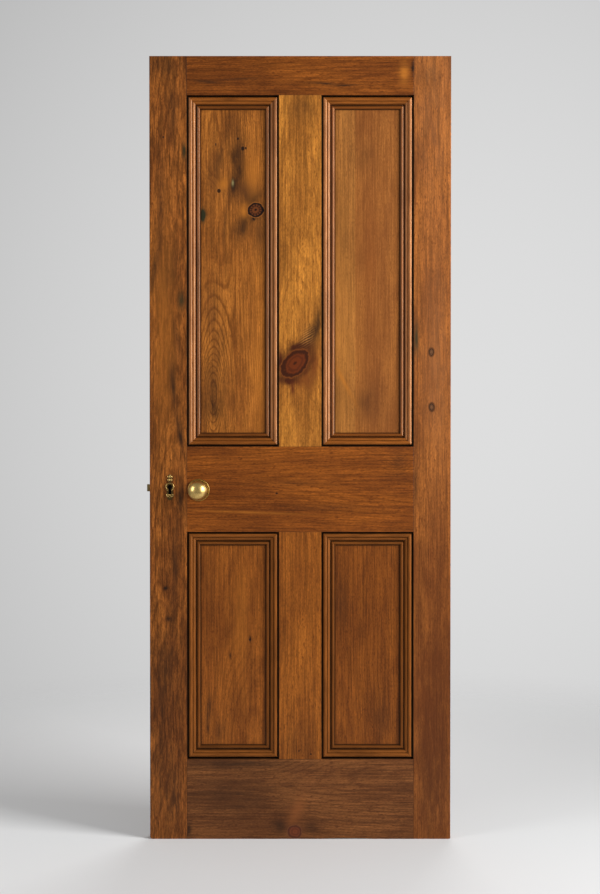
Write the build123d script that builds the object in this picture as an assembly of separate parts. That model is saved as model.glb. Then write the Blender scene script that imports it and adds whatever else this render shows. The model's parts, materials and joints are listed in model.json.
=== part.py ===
from build123d import *
import math
import os

# A four-panel softwood door leaf with planted mouldings, a mortice lock and a pair of knobs.
# Sizes are in millimetres. The origin is the middle of the bottom edge, +Z is up, +X runs from
# the lock edge to the hinge edge, and the front face looks along -Y.

# Leaf
door_width = 762.0
door_height = 1981.0
door_thickness = 38.0
stile_width = 94.0
muntin_width = 107.0
top_rail_height = 98.0
lock_rail_height = 216.0
bottom_rail_height = 203.0
lower_opening_height = 577.0

# Wear on the leaf: rounded arrises and bottom corners, and a hollow along the bottom edge
arris_radius = 1.5
lock_corner_wear = 6.5
hinge_corner_wear = 4.0
hollow_length = 140.0
hollow_depth = 2.2
hollow_x = 120.0

# Joinery: grooved frame, haunched and wedged through tenons, stub tenons on the muntins
panel_thickness = 12.3
panel_fit = 0.2
panel_float = 1.0
groove_depth = 11.0
tenon_thickness = 12.7
top_tenon_height = 54.0
bottom_tenon_height = 60.0
bottom_tenon_rise = 30.0
lock_tenon_relish = 4.0
wedge_length = 62.0
wedge_thickness = 6.0
wedge_tip = 0.8
stub_tenon_length = 45.0
stub_mortice_room = 2.0

# Moulding section, from the opening's edge inwards: widths, then heights above the panel
quirk_width = 4.6
outer_bead_width = 9.6
line_width = 1.8
ovolo_width = 6.6
hollow_width = 2.6
inner_bead_width = 8.0
toe_width = 1.5
quirk_height = 3.0
outer_bead_spring = 8.4
outer_bead_set_back = 0.6
outer_bead_foot = 8.8
line_floor = 7.2
ovolo_top = 9.2
ovolo_foot = 3.0
groove_floor = 1.8
inner_bead_height = 6.2
toe_height = 1.2

# Hinge gains in the hinge edge, open to the back face, with pilot holes for the hinge screws
hinge_height = 102.0
hinge_leaf_depth = 32.0
hinge_leaf_thickness = 3.0
top_hinge_margin = 152.0
bottom_hinge_margin = 229.0
hinge_screw_spacing_y = 13.0
hinge_screw_spacing_z = 70.0
hinge_pilot_radius = 1.7
hinge_pilot_depth = 28.0

# Lock: places of the spindle and the keyhole, case, forend and bolts
spindle_backset = 124.0
spindle_drop = 2.0
keyhole_backset = 51.0
keyhole_rise = 8.0
keyhole_head_radius = 5.75
keyhole_slot_width = 7.2
keyhole_drop = 19.2
keyhole_easing = 0.8
case_length = 147.0
case_height = 76.0
case_thickness = 15.9
case_plate = 2.0
case_room = 0.3
forend_height = 152.0
forend_width = 25.4
forend_thickness = 3.0
forend_screw_margin = 8.0
bolt_clearance = 0.3
latch_rise = 5.0
latch_height = 18.0
latch_thickness = 11.0
latch_projection = 9.0
latch_head_length = 26.0
latch_tip_thickness = 3.0
latch_tail_thickness = 4.0
latch_web_length = 8.0
latch_lug_length = 6.0
latch_lug_foot = 9.0
dead_bolt_drop = 21.0
dead_bolt_height = 18.0
dead_bolt_thickness = 10.0
dead_bolt_head_length = 29.0
dead_bolt_throw = 13.0
dead_bolt_set_back = 0.3
dead_bolt_tail_thickness = 4.0
dead_bolt_tail_end = 6.0
talon_radius = 7.0
stud_radius = 2.8
stud_from_spindle = 40.0
rivet_radius = 3.0
rivet_shank_radius = 2.0
spring_thickness = 0.8
spring_width = 8.0
spring_foot_length = 10.0
spring_curl_radius = 1.2
spring_contact_rise = 22.0

# Follower, spindle and knobs
spindle_size = 8.0
spindle_fit = 0.1
spindle_room = 2.4
follower_radius = 8.5
follower_bearing_radius = 7.0
running_clearance = 0.1
knob_turn = 35.0
horn_tip_radius = 3.0
horn_clearance = 0.3
neck_radius = 9.0
neck_clearance = 0.3
neck_start = 0.6
socket_depth = 28.0
spindle_engagement = 26.0
collar_radius = 11.5
collar_start = 5.4
collar_width = 3.8
waist_radius = 8.2
knob_radius = 24.2
knob_projection = 60.0
knob_dome_radius = 26.4
knob_rim_half_height = 3.2
knob_back = 29.0
set_screw_radius = 2.0
set_screw_place = 14.0
set_screw_stand = 0.6

# Roses, escutcheons and their fixings
rose_radius = 28.0
rose_thickness = 1.8
rose_rim_width = 3.2
rose_rim_height = 3.4
rose_boss_radius = 13.0
rose_boss_height = 4.8
screw_length = 10.5
screw_radius = 1.5
screw_head_radius = 3.0
screw_head_depth = 1.6
screw_slot_width = 0.9
screw_slot_depth = 0.8
screw_room = 0.05
rose_screw_circle = 19.0
escutcheon_thickness = 1.6
escutcheon_radius = 11.3
escutcheon_rim_radius = 1.5
escutcheon_waist = 16.0
escutcheon_lobe_radius = 3.5
escutcheon_lobe_spread = 3.2
lower_lobes_rise = 17.6
upper_lobes_rise = 25.4
tip_rise = 29.2
tip_radius = 2.6
base_drop = 21.4
base_lobe_radius = 5.0
base_lobe_spread = 5.0
point_drop = 27.8
point_radius = 6.0
dome_share = 0.45
pin_radius = 0.9
pin_head_radius = 1.5
pin_head_height = 0.8
pin_length = 10.0
top_pin_rise = 21.6
bottom_pin_drop = 26.6

# Places worked out from the sizes above
edge_x = door_width / 2
shoulder_x = edge_x - stile_width
face_y = door_thickness / 2
lock_rail_bottom = bottom_rail_height + lower_opening_height
lock_rail_top = lock_rail_bottom + lock_rail_height
top_rail_bottom = door_height - top_rail_height
panel_face_y = panel_thickness / 2
groove_width = panel_thickness + 2 * panel_fit
spindle_x = -edge_x + spindle_backset
spindle_z = lock_rail_bottom + lock_rail_height / 2 - spindle_drop
keyhole_x = -edge_x + keyhole_backset
keyhole_z = spindle_z + keyhole_rise
latch_z = spindle_z + latch_rise
dead_bolt_z = spindle_z - dead_bolt_drop
case_start_x = -edge_x + forend_thickness
case_end_x = case_start_x + case_length
case_low_z = spindle_z - case_height / 2
case_high_z = spindle_z + case_height / 2
case_half = case_thickness / 2
inside_half = case_half - case_plate
horn_reach = latch_projection / math.sin(math.radians(knob_turn))
lug_x = spindle_x + horn_tip_radius + horn_clearance
lug_back_x = lug_x + latch_lug_length
openings_x = {
    "left": (-shoulder_x, -muntin_width / 2),
    "right": (muntin_width / 2, shoulder_x),
}
openings_z = {
    "upper": (lock_rail_top, top_rail_bottom),
    "lower": (bottom_rail_height, lock_rail_bottom),
}
hinge_centres_z = (
    bottom_hinge_margin + hinge_height / 2,
    door_height - top_hinge_margin - hinge_height / 2,
)


def block(x_ends, y_ends, z_ends):
    """A square-edged piece between three pairs of faces."""
    ends = [sorted(pair) for pair in (x_ends, y_ends, z_ends)]
    middle = [(low + high) / 2 for low, high in ends]
    return Pos(*middle) * Box(*[high - low for low, high in ends])


def across(half):
    """The two faces of a piece centred in the leaf's thickness."""
    return (-half, half)


def upright(outline, half):
    """An outline drawn in the leaf's plane, given a thickness centred in the leaf."""
    return extrude(Plane.XZ * outline, amount=half, both=True)


def drum(x, z, radius, y_ends):
    """A round pin or hole that runs through the leaf's thickness."""
    low, high = sorted(y_ends)
    return Location((x, (low + high) / 2, z), (90, 0, 0)) * Cylinder(radius, high - low)


def together(pieces):
    """Separate solids that share one node."""
    return Compound(children=[solid for piece in pieces for solid in piece.solids()])


# Frame joints


def rail_tenons(name):
    """Lowest and highest point of each through tenon of a rail."""
    if name == "top_rail":
        low = top_rail_bottom + groove_depth
        return [(low, low + top_tenon_height)]
    if name == "bottom_rail":
        high = bottom_rail_height - groove_depth
        return [
            (bottom_tenon_rise, bottom_tenon_rise + bottom_tenon_height),
            (high - bottom_tenon_height, high),
        ]
    gap = case_room + lock_tenon_relish
    return [
        (lock_rail_bottom + groove_depth, case_low_z - gap),
        (case_high_z + gap, lock_rail_top - groove_depth),
    ]


def tenon(low, high):
    """One tenon that runs through both stiles, as long as the leaf is wide."""
    return block((-edge_x, edge_x), across(tenon_thickness / 2), (low, high))


def wedges(side, low, high):
    """The two wedges driven in beside a tenon's end, thick end at the stile's edge."""
    thick_x = side * edge_x
    thin_x = side * (edge_x - wedge_length)
    pair = []
    for tenon_edge, way in ((low, -1), (high, 1)):
        outline = Polygon(
            (thick_x, tenon_edge),
            (thick_x, tenon_edge + way * wedge_thickness),
            (thin_x, tenon_edge + way * wedge_tip),
            (thin_x, tenon_edge),
            align=None,
        )
        pair.append(upright(outline, tenon_thickness / 2))
    return pair


def stub_tenon(z_shoulder, way, length):
    """The short tenon on one end of a muntin, or the mortice that takes it."""
    half_width = muntin_width / 2 - groove_depth
    ends = (z_shoulder, z_shoulder + way * length)
    return block(across(half_width), across(tenon_thickness / 2), ends)


def edge_hollow():
    """The shallow hollow worn into the bottom edge."""
    radius = hollow_length**2 / (8 * hollow_depth) + hollow_depth / 2
    return drum(hollow_x, hollow_depth - radius, radius, across(door_thickness))


def corner_wear(side, radius):
    """What is worn off a stile's bottom corner."""
    corner = block((side * (edge_x - radius), side * (edge_x + 1)), across(face_y + 1), (-1, radius))
    return corner - drum(side * (edge_x - radius), radius, radius, across(face_y + 2))


# Frame


def stile(side, corner_radius):
    """An upright of the frame, grooved and morticed; side is -1 at the lock, 1 at the hinges."""
    section = Rectangle(stile_width, door_thickness)
    outer_corners = section.vertices().sort_by(Axis.X)[:2]
    section = fillet(outer_corners, arris_radius)
    timber = extrude(section, amount=door_height)
    turn = 0 if side < 0 else 180
    timber = Location((side * (edge_x - stile_width / 2), 0, 0), (0, 0, turn)) * timber
    groove_x = (side * shoulder_x, side * (shoulder_x + groove_depth))
    timber -= block(groove_x, across(groove_width / 2), (0, door_height))
    for rail_name in ("top_rail", "lock_rail", "bottom_rail"):
        for low, high in rail_tenons(rail_name):
            timber -= tenon(low, high)
            for wedge in wedges(side, low, high):
                timber -= wedge
    return timber - corner_wear(side, corner_radius)


def lock_stile():
    return stile(-1, lock_corner_wear) - lock_cutting()


def hinge_stile():
    timber = stile(1, hinge_corner_wear)
    gain_x = (edge_x - hinge_leaf_thickness, edge_x + 1)
    gain_y = (face_y - hinge_leaf_depth, face_y + 1)
    pilot_y = face_y - hinge_leaf_depth / 2
    for middle_z in hinge_centres_z:
        timber -= block(gain_x, gain_y, (middle_z - hinge_height / 2, middle_z + hinge_height / 2))
        for place in GridLocations(hinge_screw_spacing_y, hinge_screw_spacing_z, 2, 2):
            y = pilot_y + place.position.X
            z = middle_z + place.position.Y
            mouth = Location((gain_x[0], y, z), (0, 90, 0))
            timber -= mouth * Cylinder(
                hinge_pilot_radius, hinge_pilot_depth, align=(Align.CENTER, Align.CENTER, Align.MAX)
            )
    return timber


def rail(name, low, high, grooved_below, grooved_above):
    """A cross member with haunches that fill the stiles' grooves and through tenons."""
    timber = block(across(shoulder_x), across(face_y), (low, high))
    haunch_low = low + groove_depth if grooved_below else low
    haunch_high = high - groove_depth if grooved_above else high
    timber += block(
        across(shoulder_x + groove_depth), across(groove_width / 2), (haunch_low, haunch_high)
    )
    for tenon_low, tenon_high in rail_tenons(name):
        timber += tenon(tenon_low, tenon_high)
    mortice_length = stub_tenon_length + stub_mortice_room
    if grooved_below:
        timber -= block(across(shoulder_x), across(groove_width / 2), (low, haunch_low))
        timber -= stub_tenon(low, 1, mortice_length)
    if grooved_above:
        timber -= block(across(shoulder_x), across(groove_width / 2), (haunch_high, high))
        timber -= stub_tenon(high, -1, mortice_length)
    return timber


def top_rail():
    return rail("top_rail", top_rail_bottom, door_height, True, False)


def lock_rail():
    return rail("lock_rail", lock_rail_bottom, lock_rail_top, True, True) - lock_cutting()


def bottom_rail():
    return rail("bottom_rail", 0, bottom_rail_height, False, True) - edge_hollow()


def muntin(row):
    """The upright between two panels, grooved both sides and stub-tenoned into the rails."""
    low, high = openings_z[row]
    timber = block(across(muntin_width / 2), across(face_y), (low, high))
    for side in (-1, 1):
        groove_x = (side * muntin_width / 2, side * (muntin_width / 2 - groove_depth))
        timber -= block(groove_x, across(groove_width / 2), (low, high))
    timber += stub_tenon(low, -1, stub_tenon_length)
    timber += stub_tenon(high, 1, stub_tenon_length)
    return timber


def panel(row, column):
    """A flat panel held in the grooves, with room to move."""
    left, right = openings_x[column]
    low, high = openings_z[row]
    tongue = groove_depth - panel_float
    return block(
        (left - tongue, right + tongue), across(panel_face_y), (low - tongue, high + tongue)
    )


def tenon_wedges():
    pieces = []
    for name in ("top_rail", "lock_rail", "bottom_rail"):
        for low, high in rail_tenons(name):
            for side in (-1, 1):
                pieces += wedges(side, low, high)
    cutting = lock_cutting()
    return together([piece - cutting for piece in pieces])


# Planted mouldings


def moulding_section():
    """Quirk, outer bead, sunk line, ovolo, groove and inner bead; X inwards, Y off the panel."""
    bead_top = face_y - panel_face_y - outer_bead_set_back
    bead_in = quirk_width + outer_bead_width
    ovolo_in = bead_in + line_width
    groove_in = ovolo_in + ovolo_width
    inner_bead_in = groove_in + hollow_width
    toe_in = inner_bead_in + inner_bead_width
    inside = toe_in + toe_width
    ovolo_middle = (ovolo_in + 0.66 * ovolo_width, ovolo_foot + 0.7 * (ovolo_top - ovolo_foot))
    line = Polyline((0, 0), (0, quirk_height), (quirk_width, quirk_height))
    line += Line((quirk_width, quirk_height), (quirk_width, outer_bead_spring))
    line += ThreePointArc(
        (quirk_width, outer_bead_spring),
        (quirk_width + outer_bead_width / 2, bead_top),
        (bead_in, outer_bead_foot),
    )
    line += Polyline(
        (bead_in, outer_bead_foot), (bead_in, line_floor), (ovolo_in, line_floor), (ovolo_in, ovolo_top)
    )
    line += ThreePointArc((ovolo_in, ovolo_top), ovolo_middle, (groove_in, ovolo_foot))
    line += Polyline(
        (groove_in, ovolo_foot), (groove_in, groove_floor), (inner_bead_in, groove_floor)
    )
    line += ThreePointArc(
        (inner_bead_in, groove_floor),
        (inner_bead_in + inner_bead_width / 2, inner_bead_height),
        (toe_in, groove_floor),
    )
    line += Polyline(
        (toe_in, groove_floor), (toe_in, toe_height), (inside, toe_height), (inside, 0), (0, 0)
    )
    return make_face(line), inside


def moulding(length):
    """One mitred length along +X, its outer edge on the X axis and its back on the panel."""
    section, width = moulding_section()
    run = extrude(Plane((0, 0, 0), x_dir=(0, 0, 1), z_dir=(1, 0, 0)) * section, amount=length)
    mitres = Polygon(
        (0, 0), (length, 0), (length - width, width), (width, width), align=None
    )
    return run & extrude(Plane.XZ * mitres, amount=door_thickness)


def opening_mouldings(row, column):
    """The four mitred lengths round one opening of the front face, by the side they lie on."""
    left, right = openings_x[column]
    low, high = openings_z[row]
    across_run = moulding(right - left)
    upright_run = moulding(high - low)
    y = -panel_face_y
    return {
        "bottom": Location((left, y, low)) * across_run,
        "right": Location((right, y, low), (0, -90, 0)) * upright_run,
        "top": Location((right, y, high), (0, 180, 0)) * across_run,
        "left": Location((left, y, high), (0, 90, 0)) * upright_run,
    }


# Lock


def keyhole(easing, half):
    """The keyhole's shape right through a piece, eased by a margin."""
    radius = keyhole_head_radius + easing
    slot_width = keyhole_slot_width + 2 * easing
    slot_low = keyhole_z - keyhole_drop - easing
    slot = block(
        (keyhole_x - slot_width / 2, keyhole_x + slot_width / 2), across(half), (slot_low, keyhole_z)
    )
    return drum(keyhole_x, keyhole_z, radius, across(half)) + slot


def lock_cutting():
    """All that is cut out of the timber for the lock, its fixings and the spindle."""
    reach = case_half + case_room
    cutting = block(
        (-edge_x - 1, case_start_x), across(forend_width / 2 + case_room), forend_ends(case_room)
    )
    cutting += block(
        (case_start_x, case_end_x + case_room),
        across(reach),
        (case_low_z - case_room, case_high_z + case_room),
    )
    cutting += keyhole(keyhole_easing, door_thickness)
    cutting += drum(
        spindle_x, spindle_z, spindle_size / math.sqrt(2) + spindle_room, across(door_thickness)
    )
    for screw in lock_screws(screw_room) + rose_screws(screw_room):
        cutting += screw
    for pin in pins(screw_room):
        cutting += pin
    return cutting


def forend_ends(room=0.0):
    half = forend_height / 2 + room
    return (spindle_z - half, spindle_z + half)


def bolt_openings(x_ends):
    """The two square openings that the latch bolt and the dead bolt slide through."""
    latch_half = latch_height / 2 + bolt_clearance
    dead_half = dead_bolt_height / 2 + bolt_clearance
    latch_way = block(
        x_ends,
        across(latch_thickness / 2 + bolt_clearance),
        (latch_z - latch_half, latch_z + latch_half),
    )
    return latch_way + block(
        x_ends,
        across(dead_bolt_thickness / 2 + bolt_clearance),
        (dead_bolt_z - dead_half, dead_bolt_z + dead_half),
    )


def rivet_places():
    """Where the cap is riveted to the case, clear of the bolts, the key and the follower."""
    middle_x = (keyhole_x + spindle_x) / 2 + horn_tip_radius
    return [
        (middle_x, spindle_z + follower_radius * 2),
        (spindle_x - horn_tip_radius, case_low_z + 3 * rivet_radius),
    ]


def lock_case():
    """Tray with the bolt openings, two bearings, the keyhole, a guide stud and cap rivets."""
    outer_y = (-inside_half, case_half)
    case = block((case_start_x, case_end_x), outer_y, (case_low_z, case_high_z))
    case -= block(
        (case_start_x + case_plate, case_end_x - case_plate),
        across(inside_half),
        (case_low_z + case_plate, case_high_z - case_plate),
    )
    case -= bolt_openings((case_start_x, case_start_x + case_plate))
    case -= keyhole(0, door_thickness)
    bearing = follower_bearing_radius + running_clearance
    case -= drum(spindle_x, spindle_z, bearing, across(door_thickness))
    case += drum(*stud_place(), stud_radius, (inside_half - dead_bolt_tail_thickness - 1, inside_half))
    for x, z in rivet_places():
        case += drum(x, z, rivet_radius, across(inside_half))
        case += drum(x, z, rivet_shank_radius, (-case_half, 0))
    return case


def lock_cap():
    """Plate that closes the case, held by the case's riveted pillars."""
    cap = block((case_start_x, case_end_x), (-case_half, -inside_half), (case_low_z, case_high_z))
    cap -= keyhole(0, door_thickness)
    bearing = follower_bearing_radius + running_clearance
    cap -= drum(spindle_x, spindle_z, bearing, across(door_thickness))
    for x, z in rivet_places():
        cap -= drum(x, z, rivet_shank_radius, across(door_thickness))
    return cap


def lock_forend():
    """Face plate let into the stile's edge."""
    plate = block((-edge_x, case_start_x), across(forend_width / 2), forend_ends())
    plate -= bolt_openings((-edge_x - 1, case_start_x + 1))
    for screw in lock_screws(screw_room):
        plate -= screw
    return plate


def latch_bolt():
    """Bevelled head, web and tail over the key's path, and the lug that the horn pulls."""
    tip_x = -edge_x - latch_projection
    half = latch_thickness / 2
    head_end_x = tip_x + latch_head_length
    head_outline = Polygon(
        (tip_x, half),
        (tip_x, half - latch_tip_thickness),
        (-edge_x, -half),
        (head_end_x, -half),
        (head_end_x, half),
        align=None,
    )
    bolt = Pos(0, 0, latch_z - latch_height / 2) * extrude(head_outline, amount=latch_height)
    tail_top = case_high_z - case_plate - 1
    tail_y = across(latch_tail_thickness / 2)
    tail_low = tail_top - latch_tail_thickness
    bolt += block((head_end_x - latch_web_length, head_end_x), tail_y, (latch_z, tail_top))
    bolt += block((head_end_x - latch_web_length, lug_back_x), tail_y, (tail_low, tail_top))
    bolt += block((lug_x, lug_back_x), tail_y, (spindle_z + latch_lug_foot, tail_top))
    return bolt


def spring_contact():
    """Where the spring's curled end bears on the latch bolt's lug."""
    return (lug_back_x + spring_curl_radius, spindle_z + spring_contact_rise)


def latch_spring():
    """Leaf spring with its foot on the case's floor and its curl against the latch's lug."""
    floor_z = case_low_z + case_plate
    foot_end_x = case_end_x - case_plate - spring_thickness
    top_x, top_z = spring_contact()
    foot = block(
        (foot_end_x - spring_foot_length, foot_end_x),
        across(spring_width / 2),
        (floor_z, floor_z + spring_thickness),
    )
    leaf = Polygon(
        (foot_end_x, floor_z),
        (foot_end_x, floor_z + 2 * spring_thickness),
        (top_x + spring_thickness, top_z),
        (top_x, top_z),
        (foot_end_x - spring_thickness, floor_z + spring_thickness),
        (foot_end_x - spring_thickness, floor_z),
        align=None,
    )
    curl = drum(top_x, top_z, spring_curl_radius, across(spring_width / 2))
    return foot + upright(leaf, spring_width / 2) + curl


def stud_place():
    return (spindle_x - stud_from_spindle, dead_bolt_z)


def dead_bolt():
    """Square head and a slotted tail with the talon that the key throws."""
    front_x = -edge_x + dead_bolt_set_back
    head_end_x = front_x + dead_bolt_head_length
    low, high = dead_bolt_z - dead_bolt_height / 2, dead_bolt_z + dead_bolt_height / 2
    tail_y = (inside_half - bolt_clearance - dead_bolt_tail_thickness, inside_half - bolt_clearance)
    stud_x, stud_z = stud_place()
    slot_radius = stud_radius + bolt_clearance
    tail_end_x = stud_x + dead_bolt_throw + slot_radius + dead_bolt_tail_end
    bolt = block((front_x, head_end_x), across(dead_bolt_thickness / 2), (low, high))
    bolt += block((head_end_x, tail_end_x), tail_y, (low, high))
    bolt -= drum(keyhole_x, high, talon_radius, across(inside_half))
    for x in (stud_x, stud_x + dead_bolt_throw):
        bolt -= drum(x, stud_z, slot_radius, across(inside_half))
    bolt -= block(
        (stud_x, stud_x + dead_bolt_throw),
        across(inside_half),
        (stud_z - slot_radius, stud_z + slot_radius),
    )
    return bolt


def square_bar(size, y_ends):
    half = size / 2
    return block(
        (spindle_x - half, spindle_x + half), y_ends, (spindle_z - half, spindle_z + half)
    )


def follower():
    """Hub with a square hole and the horn that draws the latch back."""
    half = inside_half - bolt_clearance
    hub = drum(spindle_x, spindle_z, follower_radius, across(half))
    hub += drum(spindle_x, spindle_z, follower_bearing_radius, across(case_half))
    tip_z = spindle_z + horn_reach
    hub += block(
        (spindle_x - horn_tip_radius, spindle_x + horn_tip_radius), across(half), (spindle_z, tip_z)
    )
    hub += drum(spindle_x, tip_z, horn_tip_radius, across(half))
    return hub - square_bar(spindle_size + 2 * spindle_fit, across(door_thickness))


# Knobs, roses and escutcheons


def spindle():
    return square_bar(spindle_size, across(face_y + spindle_engagement))


def turned(outline):
    """A piece turned round the spindle; X is its radius and Y its height off the front face."""
    spin = Plane((spindle_x, -face_y, spindle_z), x_dir=(1, 0, 0), z_dir=(0, 0, -1))
    return revolve(spin * outline, Axis((spindle_x, 0, spindle_z), (0, 1, 0)))


def front_knob():
    """Domed knob on a collared neck, with a square socket and a set screw in the neck."""
    dome_centre = knob_projection - knob_dome_radius
    rim_radius = knob_radius - 1
    rim_front = dome_centre + math.sqrt(knob_dome_radius**2 - rim_radius**2)
    rim_back = rim_front - 2 * knob_rim_half_height
    crown = knob_dome_radius * math.sin(math.radians(30))
    crown_height = dome_centre + knob_dome_radius * math.cos(math.radians(30))
    collar_end = collar_start + collar_width
    collar_middle = collar_start + collar_width / 2
    line = Polyline(
        (0, neck_start), (neck_radius, neck_start), (neck_radius, collar_start)
    )
    line += ThreePointArc(
        (neck_radius, collar_start), (collar_radius, collar_middle), (neck_radius, collar_end)
    )
    line += ThreePointArc(
        (neck_radius, collar_end),
        (waist_radius, (collar_end + knob_back) / 2),
        (neck_radius + 1, knob_back),
    )
    line += ThreePointArc(
        (neck_radius + 1, knob_back),
        (0.75 * rim_radius, knob_back + 0.32 * (rim_back - knob_back)),
        (rim_radius, rim_back),
    )
    line += ThreePointArc(
        (rim_radius, rim_back), (knob_radius, (rim_front + rim_back) / 2), (rim_radius, rim_front)
    )
    line += ThreePointArc(
        (rim_radius, rim_front), (crown, crown_height), (0, knob_projection)
    )
    line += Line((0, knob_projection), (0, neck_start))
    knob = turned(make_face(line))
    socket = square_bar(
        spindle_size + 2 * spindle_fit, (-face_y, -face_y - socket_depth)
    )
    head_z = spindle_z - neck_radius
    screw = Location((spindle_x, -face_y - set_screw_place, head_z)) * Cylinder(
        set_screw_radius, 2 * set_screw_stand
    )
    return knob - socket + screw


def front_rose():
    """Dished disc with a raised rim and a boss round the knob's neck."""
    bore = neck_radius + neck_clearance
    rim_in = rose_radius - rose_rim_width
    line = Polyline((bore, 0), (rose_radius, 0), (rose_radius, rose_thickness))
    line += ThreePointArc(
        (rose_radius, rose_thickness),
        (rose_radius - rose_rim_width / 2, rose_rim_height),
        (rim_in, rose_thickness),
    )
    line += Line((rim_in, rose_thickness), (rose_boss_radius, rose_thickness))
    line += ThreePointArc(
        (rose_boss_radius, rose_thickness),
        (0.4 * bore + 0.6 * rose_boss_radius, 0.75 * rose_boss_height),
        (bore + 1, rose_boss_height),
    )
    line += Polyline((bore + 1, rose_boss_height), (bore, rose_boss_height), (bore, 0))
    rose = turned(make_face(line))
    for screw in rose_screws(screw_room):
        rose -= screw
    return rose


def countersunk_screw(room=0.0):
    """A slotted screw along -Z with its head's top at the origin, or the hole that takes it."""
    tip = screw_length + room
    outline = Polygon(
        (0, 0),
        (screw_head_radius + room, 0),
        (screw_radius + room, -screw_head_depth),
        (screw_radius + room, -(tip - 2 * screw_radius)),
        (0, -tip),
        align=None,
    )
    screw = revolve(Plane.XZ * outline, Axis.Z)
    if room > 0:
        return screw
    return screw - Box(3 * screw_head_radius, screw_slot_width, 2 * screw_slot_depth)


def lock_screws(room=0.0):
    """The two screws that hold the forend."""
    rise = forend_height / 2 - forend_screw_margin
    screw = countersunk_screw(room)
    return [
        Location((-edge_x, 0, spindle_z + way * rise), (0, -90, 0)) * screw for way in (-1, 1)
    ]


def rose_screws(room=0.0):
    """Three screws through each rose, front and back."""
    screws = []
    screw = countersunk_screw(room)
    for angle in (90, 210, 330):
        x = spindle_x + rose_screw_circle * math.cos(math.radians(angle))
        z = spindle_z + rose_screw_circle * math.sin(math.radians(angle))
        front = Location((x, -face_y - rose_thickness, z), (90, 0, 0)) * screw
        screws += [front, mirror(front, about=Plane.XZ)]
    return screws


def fixing_screws():
    return together(lock_screws() + rose_screws())


def disc_outline(x, z, radius):
    return Pos(keyhole_x + x, keyhole_z + z) * Circle(radius)


def bar_outline(width, z_ends):
    low, high = sorted(z_ends)
    return Pos(keyhole_x, keyhole_z + (low + high) / 2) * Rectangle(width, high - low)


def front_escutcheon():
    """Scrolled keyhole plate: trefoil finial, rimmed surround and a lobed foot, with domes."""
    lobes = [
        (side * escutcheon_lobe_spread, rise, escutcheon_lobe_radius)
        for side in (-1, 1)
        for rise in (lower_lobes_rise, upper_lobes_rise)
    ]
    feet = [(side * base_lobe_spread, -base_drop, base_lobe_radius) for side in (-1, 1)]
    ends = [(0, tip_rise, tip_radius), (0, -point_drop, point_radius)]
    outline = disc_outline(0, 0, escutcheon_radius)
    outline += bar_outline(2 * escutcheon_lobe_spread, (0, tip_rise))
    outline += bar_outline(escutcheon_waist, (0, -base_drop))
    for lobe in lobes + feet + ends:
        outline += disc_outline(*lobe)
    plate = extrude(Plane.XZ * outline, amount=escutcheon_thickness)
    plate += Location((keyhole_x, -escutcheon_thickness, keyhole_z), (90, 0, 0)) * Torus(
        escutcheon_radius - escutcheon_rim_radius, escutcheon_rim_radius
    )
    for x, z, radius in lobes + feet + ends[:1]:
        plate += dome(x, z, radius)
    plate = Pos(0, -face_y, 0) * plate - keyhole(0, door_thickness)
    for pin in pins(screw_room):
        plate -= pin
    return plate


def cap_radius(radius, rise):
    """Radius of the ball whose cap has this radius and rise."""
    return (radius**2 + rise**2) / (2 * rise)


def dome(x, z, radius):
    """A low round boss on the escutcheon's plate."""
    rise = dome_share * radius
    ball = cap_radius(radius, rise)
    middle = Pos(keyhole_x + x, ball - escutcheon_thickness - rise, keyhole_z + z)
    cap = drum(keyhole_x + x, keyhole_z + z, radius, (-3 * radius, -escutcheon_thickness))
    return middle * Sphere(ball) & cap


def escutcheon_pin(room):
    """A round-headed pin along -Z with the underside of its head at the origin."""
    ball = cap_radius(pin_head_radius, pin_head_height)
    half_angle = math.asin(pin_head_radius / ball) / 2
    crown = (ball * math.sin(half_angle), pin_head_height - ball * (1 - math.cos(half_angle)))
    shank = pin_radius + room
    line = Polyline(
        (0, pin_head_height),
        (0, -pin_length - room),
        (shank, pin_radius - pin_length),
        (shank, 0),
        (pin_head_radius, 0),
    )
    line += ThreePointArc((pin_head_radius, 0), crown, (0, pin_head_height))
    return revolve(Plane.XZ * make_face(line), Axis.Z)


def pins(room=0.0):
    """Two pins through each escutcheon, front and back."""
    pieces = []
    pin = escutcheon_pin(room)
    for rise in (top_pin_rise, -bottom_pin_drop):
        place = Location((keyhole_x, -face_y - escutcheon_thickness, keyhole_z + rise), (90, 0, 0))
        front = place * pin
        pieces += [front, mirror(front, about=Plane.XZ)]
    return pieces


def escutcheon_pins():
    return together(pins())


def door_parts():
    """Every piece of the door by its name."""
    parts = {
        "lock_stile": lock_stile(),
        "hinge_stile": hinge_stile(),
        "top_rail": top_rail(),
        "lock_rail": lock_rail(),
        "bottom_rail": bottom_rail(),
        "tenon_wedges": tenon_wedges(),
        "lock_case": lock_case(),
        "lock_cap": lock_cap(),
        "lock_forend": lock_forend(),
        "latch_bolt": latch_bolt(),
        "latch_spring": latch_spring(),
        "follower": follower(),
        "dead_bolt": dead_bolt(),
        "spindle": spindle(),
        "fixing_screws": fixing_screws(),
        "escutcheon_pins": escutcheon_pins(),
    }
    for row in openings_z:
        parts[f"{row}_muntin"] = muntin(row)
        for column in openings_x:
            parts[f"{row}_{column}_panel"] = panel(row, column)
            for side, run in opening_mouldings(row, column).items():
                parts[f"front_{row}_{column}_moulding_{side}"] = run
                parts[f"back_{row}_{column}_moulding_{side}"] = mirror(run, about=Plane.XZ)
    for name, piece in (
        ("knob", front_knob()),
        ("rose", front_rose()),
        ("escutcheon", front_escutcheon()),
    ):
        parts[f"front_{name}"] = piece
        parts[f"back_{name}"] = mirror(piece, about=Plane.XZ)
    return parts


os.makedirs("parts", exist_ok=True)
for name, shape in door_parts().items():
    export_step(shape, f"parts/{name}.step")
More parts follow.
